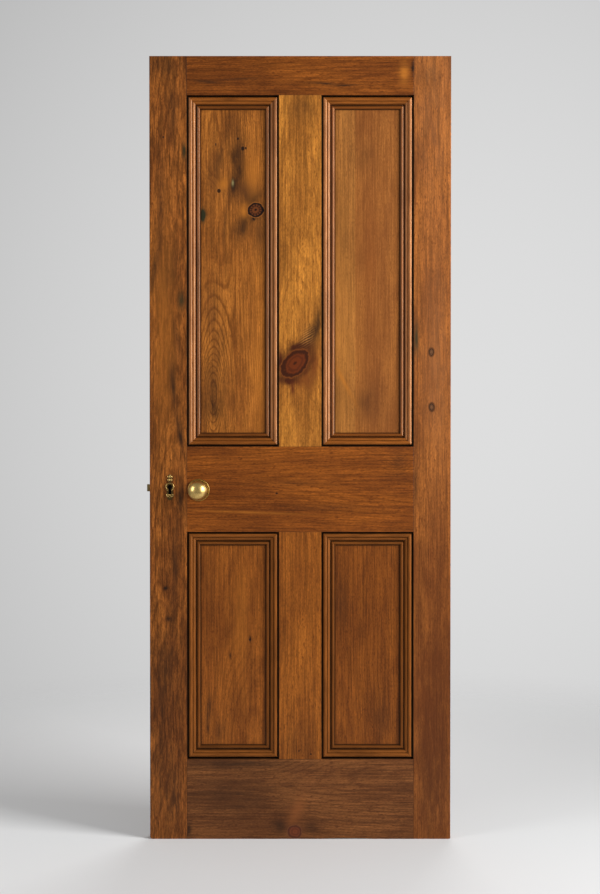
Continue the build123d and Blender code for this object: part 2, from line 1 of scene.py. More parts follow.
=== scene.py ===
import bpy
import json
import math
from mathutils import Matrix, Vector

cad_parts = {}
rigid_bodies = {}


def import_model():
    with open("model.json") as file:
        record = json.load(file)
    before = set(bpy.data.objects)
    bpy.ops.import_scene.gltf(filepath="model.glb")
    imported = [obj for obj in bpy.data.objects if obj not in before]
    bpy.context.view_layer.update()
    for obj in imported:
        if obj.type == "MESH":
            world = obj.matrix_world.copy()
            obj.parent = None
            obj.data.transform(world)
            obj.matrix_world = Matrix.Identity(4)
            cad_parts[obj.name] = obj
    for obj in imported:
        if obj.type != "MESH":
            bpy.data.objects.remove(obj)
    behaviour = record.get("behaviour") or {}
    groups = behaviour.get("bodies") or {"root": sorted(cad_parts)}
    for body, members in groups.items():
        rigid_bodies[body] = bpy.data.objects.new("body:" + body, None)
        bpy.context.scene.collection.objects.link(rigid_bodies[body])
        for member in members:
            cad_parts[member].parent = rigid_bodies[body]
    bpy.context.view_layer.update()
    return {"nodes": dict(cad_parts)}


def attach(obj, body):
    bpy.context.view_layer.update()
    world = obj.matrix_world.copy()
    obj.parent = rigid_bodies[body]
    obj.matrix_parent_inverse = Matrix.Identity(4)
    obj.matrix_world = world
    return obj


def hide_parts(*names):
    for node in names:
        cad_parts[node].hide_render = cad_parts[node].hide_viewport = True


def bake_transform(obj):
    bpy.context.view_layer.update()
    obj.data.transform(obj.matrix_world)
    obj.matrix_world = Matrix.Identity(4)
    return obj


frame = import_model()
door = frame["nodes"]

# Lines of the leaf, in metres
face_y = 0.019
opening_x = 0.287
muntin_x = 0.0535
rail_lines = (0.203, 0.780, 0.996, 1.883)
panel_face_y = 0.00615
plate_y = face_y + 0.0016


def tone(red, green, blue):
    """A finish colour read off the object as 0 to 255, as a shader colour."""
    linear = [(c / 255 / 12.92) if c <= 10 else ((c / 255 + 0.055) / 1.055) ** 2.4
              for c in (red, green, blue)]
    return (*linear, 1.0)


# Node helpers


def add(tree, kind, *feeds, out=0, **settings):
    """One node, its inputs fed in order with sockets or plain values; gives one output."""
    made = tree.nodes.new(kind)
    for name, value in settings.items():
        setattr(made, name, value)
    for socket, feed in zip(made.inputs, feeds):
        feed_socket(tree, socket, feed)
    return made.outputs[out]


def feed_socket(tree, socket, feed):
    if isinstance(feed, bpy.types.NodeSocket):
        tree.links.new(feed, socket)
    elif feed is not None:
        socket.default_value = feed


def math_node(tree, operation, *feeds, clamp=False):
    return add(tree, "ShaderNodeMath", *feeds, operation=operation, use_clamp=clamp)


def vector_node(tree, operation, *feeds, out=0):
    return add(tree, "ShaderNodeVectorMath", *feeds, operation=operation, out=out)


def between(tree, value, start, end, low=0.0, high=1.0):
    """A smooth step of a value from low at start to high at end."""
    return add(tree, "ShaderNodeMapRange", value, start, end, low, high,
               interpolation_type="SMOOTHSTEP")


def tinted(tree, share, first, second, way="MIX"):
    """Two colours mixed by a share."""
    mix = tree.nodes.new("ShaderNodeMix")
    mix.data_type, mix.blend_type = "RGBA", way
    for place, feed in ((0, share), (6, first), (7, second)):
        feed_socket(tree, mix.inputs[place], feed)
    return mix.outputs[2]


def speckle(tree, vector, scale, detail=2.0, roughness=0.5, distortion=0.0):
    """Soft noise from 0 to 1."""
    noise = tree.nodes.new("ShaderNodeTexNoise")
    noise.noise_dimensions = "3D"
    feed_socket(tree, noise.inputs["Vector"], vector)
    for name, value in (("Scale", scale), ("Detail", detail), ("Roughness", roughness),
                        ("Distortion", distortion)):
        noise.inputs[name].default_value = value
    return noise.outputs[0]


def stretched(tree, vector, factors):
    return vector_node(tree, "MULTIPLY", vector, factors)


def ramp(tree, value, stops):
    """A colour ramp from stops of position and colour; gives colour and cover."""
    made = tree.nodes.new("ShaderNodeValToRGB")
    tree.links.new(value, made.inputs[0])
    band = made.color_ramp
    while len(band.elements) < len(stops):
        band.elements.new(0.5)
    for element, (position, colour) in zip(band.elements, stops):
        element.position, element.color = position, colour
    return made.outputs[0], made.outputs[1]


def grey(tree, value):
    return add(tree, "ShaderNodeCombineColor", value, value, value)


def new_finish(name):
    """A material, its tree, its shader and the object's own coordinates."""
    finish = bpy.data.materials.new(name)
    finish.use_nodes = True
    tree = finish.node_tree
    shader = tree.nodes["Principled BSDF"]
    place = tree.nodes.new("ShaderNodeTexCoord").outputs["Object"]
    return finish, tree, shader, place


def coordinate(tree, place, axis):
    """One coordinate of a place: 0 for X, 1 for Y, 2 for Z."""
    return add(tree, "ShaderNodeSeparateXYZ", place, out=axis)


def shaded(tree, colour, shade):
    """A colour darkened or lightened by a factor round 1."""
    return tinted(tree, 1.0, colour, grey(tree, shade), "MULTIPLY")


def relief(tree, shader, height, strength, depth):
    """Fine relief from a height, as deep as depth in metres."""
    bump = tree.nodes.new("ShaderNodeBump")
    bump.inputs["Strength"].default_value = strength
    bump.inputs["Distance"].default_value = depth
    tree.links.new(height, bump.inputs["Height"])
    tree.links.new(bump.outputs[0], shader.inputs["Normal"])


def place_in(tree, place, spot):
    """A mark's own coordinates, from its centre and with its half sizes as 1."""
    x, z, half_x, half_z, turn = spot
    through_the_board = 10.0
    return add(tree, "ShaderNodeMapping", place, (x / 1000, 0, z / 1000),
               (0, math.radians(turn), 0), (half_x / 1000, through_the_board, half_z / 1000),
               vector_type="TEXTURE")


def distance_in(tree, place, spot):
    """How far a point is from a mark's centre, with the mark's own half sizes as 1."""
    return vector_node(tree, "LENGTH", place_in(tree, place, spot), out=1)


def bell(tree, distance, height=1.0):
    """1 at a mark's centre, fading smoothly to nothing well outside it."""
    one_over_e = 0.3679
    squared = math_node(tree, "MULTIPLY", distance, distance)
    faded = math_node(tree, "POWER", one_over_e, squared)
    return math_node(tree, "MULTIPLY", faded, height)


# Pine


def grain_place(tree, place, upright, middle):
    """Board coordinates: X across the grain, Y through the board, Z along the grain."""
    x, z = middle
    turn = (0, 0, 0) if upright else (0, math.radians(90), 0)
    shift = (-x, 0, -z) if upright else (-z, 0, x)
    return add(tree, "ShaderNodeMapping", place, shift, turn, (1, 1, 1))


def growth_rings(tree, place, board, rings, swells):
    """Distance from the pith, bent by wander and by the swells round knots."""
    pith_x, pith_y, spacing, taper = rings
    drift_reach, waver_reach = 0.022, 0.0018
    drift = add(tree, "ShaderNodeTexNoise", stretched(tree, board, (6, 6, 1.0)), None, 1.0, 2.0,
                out=1)
    drift = vector_node(tree, "SUBTRACT", drift, (0.5, 0.5, 0.5))
    drift = vector_node(tree, "SCALE", drift, None, None, drift_reach)
    bent = vector_node(tree, "ADD", board, drift)
    out_of_pith = vector_node(tree, "SUBTRACT", bent, (pith_x, pith_y, 0))
    radius = vector_node(tree, "LENGTH", stretched(tree, out_of_pith, (1, 1, 0)), out=1)
    along = vector_node(tree, "DOT_PRODUCT", bent, (0, 0, taper), out=1)
    radius = math_node(tree, "ADD", radius, along)
    for *spot, push in swells:
        lift = bell(tree, distance_in(tree, place, spot), push / 1000)
        radius = math_node(tree, "ADD", radius, lift)
    waver = speckle(tree, stretched(tree, board, (110, 110, 14)), 1.0, 3.0, 0.6)
    radius = math_node(tree, "ADD", radius, math_node(tree, "MULTIPLY", waver, waver_reach))
    phase = math_node(tree, "FRACT", math_node(tree, "DIVIDE", radius, spacing))
    black, early, white = (0, 0, 0, 1), (0.06, 0.06, 0.06, 1), (1, 1, 1, 1)
    return ramp(tree, phase, [(0, black), (0.5, early), (0.76, white), (0.86, white),
                              (0.96, black)])[0]


def knot_face(tree, place, colour, knot):
    """A round of branch wood: pith, cracked red-brown rings, a bark ring and a bright rim."""
    *spot, (heart, wood, bark, rim), halo = knot
    edge_wander = 0.5
    rough = math_node(tree, "SUBTRACT", speckle(tree, place, 90.0, 4.0, 0.6), 0.5)
    ragged = math_node(tree, "MULTIPLY_ADD", rough, edge_wander, distance_in(tree, place, spot))
    face, cover = ramp(tree, math_node(tree, "MULTIPLY", ragged, 0.5), [
        (0.0, bark), (0.03, bark), (0.07, heart), (0.18, heart), (0.26, wood), (0.34, heart),
        (0.41, bark), (0.5, bark), (0.525, rim), (0.545, rim), (0.59, (*rim[:3], 0.0))])
    ring = between(tree, ragged, 1.75, 1.25)
    colour = tinted(tree, math_node(tree, "MULTIPLY", ring, halo), colour, bark)
    return tinted(tree, cover, colour, face)


def knot_cracks(tree, place, colour, crack):
    """Short dark checks set round a dry knot like the strokes of a clock."""
    *spot, count, strength = crack
    local = place_in(tree, place, spot)
    angle = math_node(tree, "ARCTAN2", coordinate(tree, local, 0), coordinate(tree, local, 2))
    stroke = math_node(tree, "SINE", math_node(tree, "MULTIPLY", angle, float(count)))
    stroke = between(tree, stroke, 0.1, 0.9)
    away = vector_node(tree, "LENGTH", local, out=1)
    zone = math_node(tree, "MULTIPLY", between(tree, away, 0.35, 0.62),
                     between(tree, away, 1.0, 0.84))
    share = math_node(tree, "MULTIPLY", math_node(tree, "MULTIPLY", stroke, zone), strength)
    return tinted(tree, share, colour, tone(26, 13, 8))


def combed(tree, place, colour, comb):
    """Fine curly bars across the grain beside a knot."""
    *spot, pitch, lean, pale, strength = comb
    tilt, wander = math.radians(lean), 0.006
    across = vector_node(tree, "DOT_PRODUCT", place, (math.sin(tilt), 0, math.cos(tilt)), out=1)
    wobble = math_node(tree, "MULTIPLY", speckle(tree, place, 60.0, 2.0), wander)
    bars = math_node(tree, "DIVIDE", math_node(tree, "ADD", across, wobble),
                     pitch / 1000 / math.tau)
    bars = between(tree, math_node(tree, "SINE", bars), -0.2, 0.8)
    share = bell(tree, distance_in(tree, place, spot), strength)
    return tinted(tree, math_node(tree, "MULTIPLY", share, bars, clamp=True), colour, pale)


def stained(tree, place, ragged, colour, mark):
    """A stain or smudge with a broken edge that runs with the grain."""
    *spot, stain, strength = mark
    share = bell(tree, distance_in(tree, place, spot), strength)
    share = math_node(tree, "MULTIPLY", share, ragged, clamp=True)
    return tinted(tree, share, colour, stain)


def widest(tree, covers):
    """The strongest of several covers at each point."""
    widest_yet = covers[0]
    for cover in covers[1:]:
        widest_yet = math_node(tree, "MAXIMUM", widest_yet, cover)
    return widest_yet


def pinholes(tree, place, holes):
    """Small dark holes or dots with a firm edge; gives their cover."""
    return widest(tree, [between(tree, distance_in(tree, place, hole), 1.15, 0.75)
                         for hole in holes])


def seam_and_shade_line_cover(tree, place, seams_and_shade_lines):
    """The dark hairlines where boards meet, and the painted shade lines along the mouldings; those
    along x stand on both sides of the middle.
    """
    across = math_node(tree, "ABSOLUTE", coordinate(tree, place, 0))
    up = coordinate(tree, place, 2)
    covers = []
    for axis, line, half in seams_and_shade_lines:
        value = across if axis == "x" else up
        away = math_node(tree, "ABSOLUTE", math_node(tree, "SUBTRACT", value, line))
        covers.append(between(tree, away, half, 0.35 * half))
    return widest(tree, covers)


def beside_glue_line(tree, place, colour, glue_line):
    """The redder of the two boards that a panel is glued up from."""
    x, wood, strength = glue_line
    half_line = 0.6
    share = between(tree, coordinate(tree, place, 0), (x - half_line) / 1000,
                    (x + half_line) / 1000, 0.0, strength)
    return tinted(tree, share, colour, wood)


def toned(wood, red, green, blue):
    """A lighter or darker neighbour of a wood colour."""
    return (wood[0] * red, wood[1] * green, wood[2] * blue, 1.0)


def patina(tree, board, wood, streaks, cloudy):
    """Slow clouds and long streaks, darker and lighter; gives the colour and the clouds."""
    light, dark = toned(wood, 1.28, 1.32, 1.3), toned(wood, 0.66, 0.62, 0.6)
    half_spread, glow_strength = 0.135 / cloudy, 0.3 * streaks
    cloud = speckle(tree, stretched(tree, board, (13, 13, 3.6)), 1.0, 5.0, 0.66)
    colour = ramp(tree, between(tree, cloud, 0.5 - half_spread, 0.5 + half_spread),
                  [(0.0, dark), (0.5, wood), (1.0, light)])[0]
    streak = speckle(tree, stretched(tree, board, (75, 75, 2.4)), 1.0, 4.0, 0.68)
    colour = tinted(tree, between(tree, streak, 0.46, 0.68, 0.0, streaks), colour, dark)
    glow = speckle(tree, stretched(tree, board, (120, 120, 3.0)), 1.0, 3.0, 0.6)
    glow = between(tree, glow, 0.52, 0.72, 0.0, glow_strength)
    return tinted(tree, glow, colour, light), cloud


def late_wood(tree, board, colour, ring, late, contrast):
    """The dark part of each ring, fainter in patches; gives the colour and the rings."""
    faint = speckle(tree, stretched(tree, board, (9, 9, 2.2)), 1.0, 2.0)
    ring = math_node(tree, "MULTIPLY", ring, between(tree, faint, 0.36, 0.6, 0.35, 1.0))
    return tinted(tree, math_node(tree, "MULTIPLY", ring, contrast), colour, late), ring


def fibres(tree, board, colour):
    """Short fibres and long threads; gives the colour and the fibres."""
    fibre = speckle(tree, stretched(tree, board, (430, 430, 22)), 1.0, 4.0, 0.72)
    shade = between(tree, fibre, 0.32, 0.68, 0.8, 1.18)
    thread = speckle(tree, stretched(tree, board, (300, 300, 4.5)), 1.0, 3.0, 0.7)
    shade = math_node(tree, "MULTIPLY", shade, between(tree, thread, 0.34, 0.66, 0.76, 1.22))
    return shaded(tree, colour, shade), fibre


def curled(tree, board, colour, curl):
    """Short slanting flashes where the grain curls."""
    slant = add(tree, "ShaderNodeMapping", board, None, (0, math.radians(24), 0), (190, 190, 26))
    flash = speckle(tree, slant, 1.0, 3.0, 0.65)
    return shaded(tree, colour, between(tree, flash, 0.36, 0.66, 1.0 - curl, 1.0 + 1.6 * curl))


def flecks_and_pores(tree, board, colour, late):
    fleck = speckle(tree, stretched(tree, board, (330, 330, 70)), 1.0, 1.5, 0.5)
    colour = tinted(tree, between(tree, fleck, 0.6, 0.7, 0.0, 0.75), colour, late)
    pore = speckle(tree, stretched(tree, board, (640, 640, 150)), 1.0, 2.0, 0.6)
    return shaded(tree, colour, between(tree, pore, 0.34, 0.66, 0.8, 1.17))


def marked(tree, place, board, colour, stains, combs, knots, cracks):
    """Stains, then curly bars, knots and the checks in dry knots over them."""
    ragged = speckle(tree, stretched(tree, board, (70, 70, 16)), 1.0, 4.0, 0.65)
    ragged = between(tree, ragged, 0.3, 0.62, 0.62, 1.15)
    for mark in stains:
        colour = stained(tree, place, ragged, colour, mark)
    for comb in combs:
        colour = combed(tree, place, colour, comb)
    for knot in knots:
        colour = knot_face(tree, place, colour, knot)
    for crack in cracks:
        colour = knot_cracks(tree, place, colour, crack)
    return colour


def sunk(tree, colour, height, cover, strength, dark, depth):
    """Dark sunk marks; gives the colour and the height."""
    colour = tinted(tree, math_node(tree, "MULTIPLY", cover, strength), colour, dark)
    return colour, math_node(tree, "MULTIPLY_ADD", cover, -depth, height)


def pine(name, upright, middle, wood, rings, swells=(), knots=(), cracks=(), combs=(),
         stains=(), holes=(), seams_and_shade_lines=(), contrast=0.4, streaks=0.5, cloudy=1.0, curl=0.0,
         glue_line=None):
    """Old waxed pine: rings, fibres, streaks, patina, knots, stains and rubbed-in dirt; the panels
    also carry painted shade along their mouldings, and the hinge stile a painted sheen.
    """
    ring_depth, hole_depth, seam_depth = 0.35, 4.0, 2.0
    finish, tree, shader, place = new_finish(name)
    board = grain_place(tree, place, upright, middle)
    late = toned(wood, 0.5, 0.44, 0.42)
    colour, cloud = patina(tree, board, wood, streaks, cloudy)
    ring = growth_rings(tree, place, board, rings, swells)
    colour, ring = late_wood(tree, board, colour, ring, late, contrast)
    colour, fibre = fibres(tree, board, colour)
    if curl:
        colour = curled(tree, board, colour, curl)
    colour = flecks_and_pores(tree, board, colour, late)
    if glue_line:
        colour = beside_glue_line(tree, place, colour, glue_line)
    colour = marked(tree, place, board, colour, stains, combs, knots, cracks)
    height = math_node(tree, "MULTIPLY_ADD", ring, -ring_depth, fibre)
    if holes:
        colour, height = sunk(tree, colour, height, pinholes(tree, place, holes), 0.9,
                              tone(20, 13, 10), hole_depth)
    # Dark hairlines: real joints between boards and, on the panels, painted shade along the
    # mouldings' toes.
    if seams_and_shade_lines:
        colour, height = sunk(tree, colour, height, seam_and_shade_line_cover(tree, place, seams_and_shade_lines), 0.5,
                              tone(24, 15, 9), seam_depth)
    tree.links.new(colour, shader.inputs["Base Color"])
    tree.links.new(between(tree, cloud, 0.3, 0.7, 0.46, 0.36), shader.inputs["Roughness"])
    shader.inputs["Specular IOR Level"].default_value = 0.16
    relief(tree, shader, height, 0.35, 0.0004)
    return finish


# Boards of the leaf
#
# A board's rings are the pith's x and y, the spacing and the taper. Everything on a board starts
# with its place: x, z, half width and half height in millimetres, and its turn in degrees.
# A swell goes on with how far it pushes the rings out in millimetres, a knot with its four colours
# and the strength of the dark round it, a crack with its count and strength, a comb with its pitch,
# lean, colour and strength, and a stain with its colour and strength. A hole is its place alone.


def panel_edge_dirt_and_shade(low, high):
    """Dirt and painted shade along the inner edge of a panel's mouldings, where they shade the
    panel.
    """
    moulding_width, half_upright, half_across = 0.0347, 0.0022, 0.0018
    return [("x", opening_x - moulding_width, half_upright),
            ("x", muntin_x + moulding_width, half_upright),
            ("z", low + moulding_width, half_across), ("z", high - moulding_width, half_across)]


def seams_at(*lines):
    """Hairlines at the heights where rails end."""
    half_seam = 0.0007
    return [("z", line, half_seam) for line in lines]


def rail_seams(*lines):
    """The stiles' inner edges and the rails' own edges."""
    half_seam = 0.0009
    return [("x", opening_x, half_seam)] + seams_at(*lines)


smoke, bottle_green, soot = tone(46, 28, 15), tone(44, 42, 24), tone(26, 16, 10)
amber, rust_red, umber = tone(176, 106, 36), tone(120, 62, 24), tone(70, 40, 20)
small_knot = (tone(112, 74, 46), tone(50, 30, 18), tone(34, 20, 12), tone(92, 54, 26))


def lock_stile_pine():
    return pine(
        "lock_stile_pine", True, (-0.334, 0.99), tone(125, 71, 27),
        (0.018, 0.07, 0.0058, 0.07),
        swells=[(-345, 1380, 30, 160, 8, 16), (-330, 640, 26, 150, -6, 14),
                (-350, 300, 24, 130, 6, 12)],
        stains=[(-293, 1741, 5, 22, 0, bottle_green, 1.0),
                (-299, 1366, 9, 20, 0, bottle_green, 1.0),
                (-330, 1440, 22, 60, 12, smoke, 0.5), (-345, 1960, 40, 30, 0, smoke, 0.5),
                (-320, 1180, 12, 60, 4, smoke, 0.4), (-304, 869, 7, 30, 0, smoke, 0.8),
                (-341, 637, 6, 5, 0, soot, 1.2), (-333, 560, 9, 7, 0, soot, 0.9),
                (-318, 690, 8, 130, 2, smoke, 0.5), (-345, 420, 26, 110, 5, smoke, 0.5),
                (-320, 110, 16, 80, 0, smoke, 0.5), (-350, 180, 30, 150, 0, smoke, 0.3),
                (-346, 1290, 30, 240, 0, amber, 0.4), (-352, 1600, 10, 120, 0, umber, 0.5),
                (-322, 1840, 16, 70, 0, umber, 0.5), (-366, 1450, 8, 60, 10, smoke, 0.7),
                (-322, 1150, 7, 60, -6, smoke, 0.7),
                (-304, 1030, 8, 40, -8, smoke, 0.9), (-312, 1270, 6, 50, -10, smoke, 0.5)],
        holes=[(-345.8, 1777, 2.2, 2.2, 0)],
        seams_and_shade_lines=rail_seams(), contrast=0.58, streaks=0.6, cloudy=1.25, curl=0.3)


def hinge_stile_pine():
    return pine(
        "hinge_stile_pine", True, (0.334, 0.99), tone(134, 77, 32),
        (-0.03, 0.09, 0.0046, 0.02),
        swells=[(331, 1235, 9, 30, 0, 9), (333, 1096, 9, 30, 0, 9)],
        knots=[(331.5, 1235, 5.6, 8.5, 0, small_knot, 0.6),
               (332.5, 1096, 5.8, 8.5, 0, small_knot, 0.7)],
        stains=[(294, 1270, 7, 40, 0, bottle_green, 0.9), (320, 1930, 30, 26, 0, smoke, 0.35),
                (292, 900, 5, 60, 0, smoke, 0.6), (300, 600, 14, 120, 0, smoke, 0.3),
                (335, 150, 40, 150, 0, smoke, 0.55), (350, 420, 24, 160, 0, smoke, 0.25),
                (334, 340, 80, 480, 0, tone(88, 42, 14), 0.55),
                # The two pale patches, at the top and in the middle, are a painted sheen from the
                # right lamp.
                (340, 1880, 60, 330, 0, tone(178, 128, 90), 0.1),
                (345, 1200, 40, 260, 0, tone(160, 104, 62), 0.3)],
        seams_and_shade_lines=rail_seams(), contrast=0.35, streaks=0.45, curl=0.1)


def top_rail_pine():
    return pine(
        "top_rail_pine", False, (0.0, 1.932), tone(120, 64, 20),
        (-0.02, 0.06, 0.0062, 0.06),
        swells=[(-210, 1916, 60, 14, 0, 7)],
        stains=[(-240, 1917, 34, 3.5, 4, smoke, 1.0), (-160, 1923, 50, 3, -2, smoke, 0.7),
                (60, 1912, 36, 3.0, 3, smoke, 1.1), (110, 1907, 34, 2.6, -3, smoke, 0.9),
                (262, 1938, 12, 26, 0, amber, 0.7), (284, 1950, 4, 20, 0, soot, 0.8)],
        seams_and_shade_lines=rail_seams(rail_lines[3]), contrast=0.4, streaks=0.6)


def lock_rail_pine():
    return pine(
        "lock_rail_pine", False, (0.0, 0.888), tone(126, 67, 20),
        (0.02, 0.055, 0.0056, 0.05),
        swells=[(248, 955, 30, 28, 0, 14), (0, 880, 200, 22, 0, 6)],
        stains=[(-10, 903, 80, 9, 0, smoke, 0.3), (90, 842, 120, 6, 0, smoke, 0.35),
                (248, 955, 26, 30, 20, smoke, 0.4), (-140, 830, 130, 3, 2, amber, 0.5)],
        holes=[(-59.8, 877.5, 3.2, 2.4, 0)],
        seams_and_shade_lines=rail_seams(rail_lines[1], rail_lines[2]), contrast=0.4, streaks=0.55)


def bottom_rail_pine():
    worn_knot = (tone(108, 54, 30), tone(88, 42, 24), tone(78, 40, 24), tone(104, 60, 33))
    return pine(
        "bottom_rail_pine", False, (0.0, 0.102), tone(112, 67, 33),
        (0.055, 0.05, 0.0066, 0.06),
        swells=[(-130, 210, 140, 50, 8, 30), (-13, 10, 60, 45, 0, 22)],
        knots=[(-13.7, 18, 17, 16, 10, worn_knot, 0.15)],
        stains=[(-50, 30, 24, 18, 0, soot, 0.7), (30, 30, 20, 16, 0, soot, 0.5),
                (-284, 20, 8, 22, 0, soot, 0.8), (-160, 190, 130, 12, 0, smoke, 0.7),
                (-170, 110, 120, 60, 0, smoke, 0.4), (-10, 70, 16, 40, 25, tone(136, 78, 38), 0.7)],
        seams_and_shade_lines=rail_seams(rail_lines[0]), contrast=0.45, streaks=0.6)


def upper_muntin_pine():
    muntin_knot = (tone(98, 43, 15), tone(78, 33, 12), tone(58, 25, 9), tone(104, 54, 20))
    return pine(
        "upper_muntin_pine", True, (0.0, 1.44), tone(165, 104, 39),
        (-0.004, 0.06, 0.0068, 0.09),
        swells=[(-12.7, 1206, 40, 70, 35, 26), (12, 1270, 14, 70, 12, 10),
                (6, 1640, 16, 200, 0, 8)],
        knots=[(-12.7, 1206.7, 26, 40, 46, muntin_knot, 0.6)],
        combs=[(16, 1272, 13, 27, 16, 5.4, -30, tone(176, 118, 58), 0.8)],
        stains=[(24, 1270, 17, 44, 26, smoke, 1.0), (44, 1300, 9, 80, 6, smoke, 0.8),
                (-26, 1162, 30, 11, 6, tone(72, 30, 13), 1.3),
                (-19, 1143, 5, 16, 0, tone(90, 42, 18), 0.9),
                (-4, 1248, 30, 12, -8, tone(70, 32, 14), 1.25),
                (-50, 1212, 7, 30, 0, tone(76, 34, 15), 1.0),
                (26, 1196, 30, 60, 24, tone(112, 58, 22), 0.9), (0, 1850, 40, 30, 0, smoke, 0.3)],
        seams_and_shade_lines=seams_at(rail_lines[3], rail_lines[2]),
        contrast=0.36, streaks=0.35, curl=0.08)


def lower_muntin_pine():
    return pine(
        "lower_muntin_pine", True, (0.0, 0.49), tone(142, 80, 26),
        (0.02, 0.08, 0.005, 0.03),
        swells=[(10, 420, 30, 120, 0, 10)],
        stains=[(0, 240, 40, 50, 0, smoke, 0.25)],
        holes=[(-3.3, 223.8, 2, 2.6, 0), (26.8, 215.8, 2, 2.6, 0)],
        seams_and_shade_lines=seams_at(rail_lines[1], rail_lines[0]),
        contrast=0.3, streaks=0.4, cloudy=0.8)


def upper_left_panel_pine():
    dry_knot = (tone(100, 52, 22), tone(64, 32, 15), tone(22, 12, 8), tone(138, 82, 34))
    return pine(
        "upper_left_panel_pine", True, (-0.170, 1.44), tone(151, 90, 34),
        (-0.052, 0.05, 0.0046, 0.05),
        swells=[(-226, 1140, 40, 90, 0, 20), (-221, 1062, 46, 350, 0, 78),
                (-232, 1600, 28, 70, 0, 30), (-113, 1596, 34, 60, 0, 24)],
        knots=[(-112.7, 1595.5, 20, 17.5, -15, dry_knot, 0.25)],
        cracks=[(-112.7, 1595.5, 20, 17.5, -15, 12, 0.9)],
        stains=[(-158, 1706, 15, 50, -16, soot, 0.95), (-168, 1660, 15, 34, 6, smoke, 0.95),
                (-134, 1640, 30, 30, -34, umber, 1.0), (-116, 1626, 22, 12, -30, smoke, 1.0),
                (-150, 1742, 14, 40, -6, smoke, 0.7), (-138, 1574, 14, 22, 10, smoke, 0.9),
                (-150, 1546, 22, 30, 10, smoke, 0.75), (-102, 1530, 16, 60, 0, umber, 0.8),
                (-118, 1573, 10, 5, -40, smoke, 0.9), (-190, 1560, 5, 50, 4, smoke, 0.5),
                (-140, 1592, 12, 16, 0, amber, 0.9), (-196, 1662, 12, 14, 20, amber, 0.9),
                (-120, 1690, 18, 60, 0, amber, 0.6), (-215, 1700, 22, 60, 0, umber, 0.45),
                (-172, 1800, 24, 50, 0, smoke, 0.3), (-205, 1720, 10, 50, 14, smoke, 0.45),
                (-216, 1150, 30, 80, 0, smoke, 0.55), (-218, 1088, 24, 26, -20, soot, 0.6),
                (-226, 1340, 20, 60, 0, umber, 0.5), (-200, 1270, 10, 40, 0, smoke, 0.4),
                (-110, 1010, 26, 20, 0, smoke, 0.35), (-195, 1010, 14, 20, 0, smoke, 0.3),
                (-247, 1582, 6.5, 14, 0, bottle_green, 2.2),
                (-171, 1664, 2.6, 7, 0, tone(140, 128, 84), 0.8),
                (-100, 1180, 34, 320, 0, amber, 0.35)],
        holes=[(-206.2, 1644, 5, 5.5, 0), (-158, 1775.7, 2.8, 3.2, 0), (-145.6, 1751, 4.6, 5.4, 0),
               (-138, 1752, 2.4, 3.4, 0), (-213.8, 1761.3, 1.6, 4, 0),
               (-118.3, 1572.8, 5, 1.9, 50)],
        seams_and_shade_lines=panel_edge_dirt_and_shade(rail_lines[2], rail_lines[3]),
        contrast=0.75, streaks=0.45, curl=0.12)


def upper_right_panel_pine():
    return pine(
        "upper_right_panel_pine", True, (0.170, 1.44), tone(146, 92, 42),
        (0.09, 0.10, 0.0044, 0.02),
        stains=[(96, 1250, 44, 420, 0, tone(172, 112, 46), 0.45),
                (186, 1200, 40, 300, 0, rust_red, 0.1),
                (176, 1460, 20, 160, 0, rust_red, 0.3),
                (160, 1730, 30, 40, 0, smoke, 0.25), (80, 1560, 18, 34, 0, smoke, 0.3),
                (164, 1112, 26, 50, 30, smoke, 0.3),
                (190, 1090, 40, 40, 0, umber, 0.25), (90, 1140, 20, 50, 0, smoke, 0.25),
                (108, 1166, 5, 60, -28, amber, 0.6)],
        seams_and_shade_lines=panel_edge_dirt_and_shade(rail_lines[2], rail_lines[3]),
        glue_line=(139.5, rust_red, 0.4), contrast=0.24, streaks=0.5, cloudy=0.8)


def lower_left_panel_pine():
    return pine(
        "lower_left_panel_pine", True, (-0.170, 0.49), tone(132, 73, 24),
        (0.05, 0.07, 0.0052, 0.05),
        swells=[(-150, 560, 36, 160, 0, 20)],
        stains=[(-233, 320, 7, 40, 3, smoke, 0.8), (-205, 270, 14, 30, 10, smoke, 0.4),
                (-150, 560, 20, 120, 0, amber, 0.3), (-178, 464, 3, 10, 0, soot, 0.8),
                (-127, 507, 3, 8, 0, soot, 0.8), (-235, 277, 3, 10, 0, soot, 0.8)],
        holes=[(-128, 504.6, 2.4, 3.2, 0)],
        seams_and_shade_lines=panel_edge_dirt_and_shade(rail_lines[0], rail_lines[1]),
        contrast=0.38, streaks=0.6)


def lower_right_panel_pine():
    return pine(
        "lower_right_panel_pine", True, (0.170, 0.49), tone(119, 64, 20),
        (-0.06, 0.08, 0.0052, 0.04),
        swells=[(180, 420, 40, 180, 0, 16)],
        stains=[(100, 600, 20, 60, 0, smoke, 0.3), (210, 300, 30, 60, 0, smoke, 0.3)],
        seams_and_shade_lines=panel_edge_dirt_and_shade(rail_lines[0], rail_lines[1]),
        contrast=0.34, streaks=0.55, cloudy=0.8)


def wedge_pine():
    return pine("wedge_pine", False, (0.0, 0.9), tone(110, 68, 34), (0.0, 0.03, 0.003, 0.2))


def quirk_dirt_and_shade_lines():
    """The narrow sunk strip round each moulding, painted near black as shade and dirt: beside the
    uprights, then along the rails.
    """
    inset, half = 0.0023, 0.0042
    foot, lock_low, lock_high, head = rail_lines
    return ([("x", opening_x - inset, half), ("x", muntin_x + inset, half)],
            [("z", foot + inset, half), ("z", lock_low - inset, half),
             ("z", lock_high + inset, half), ("z", head - inset, half)])


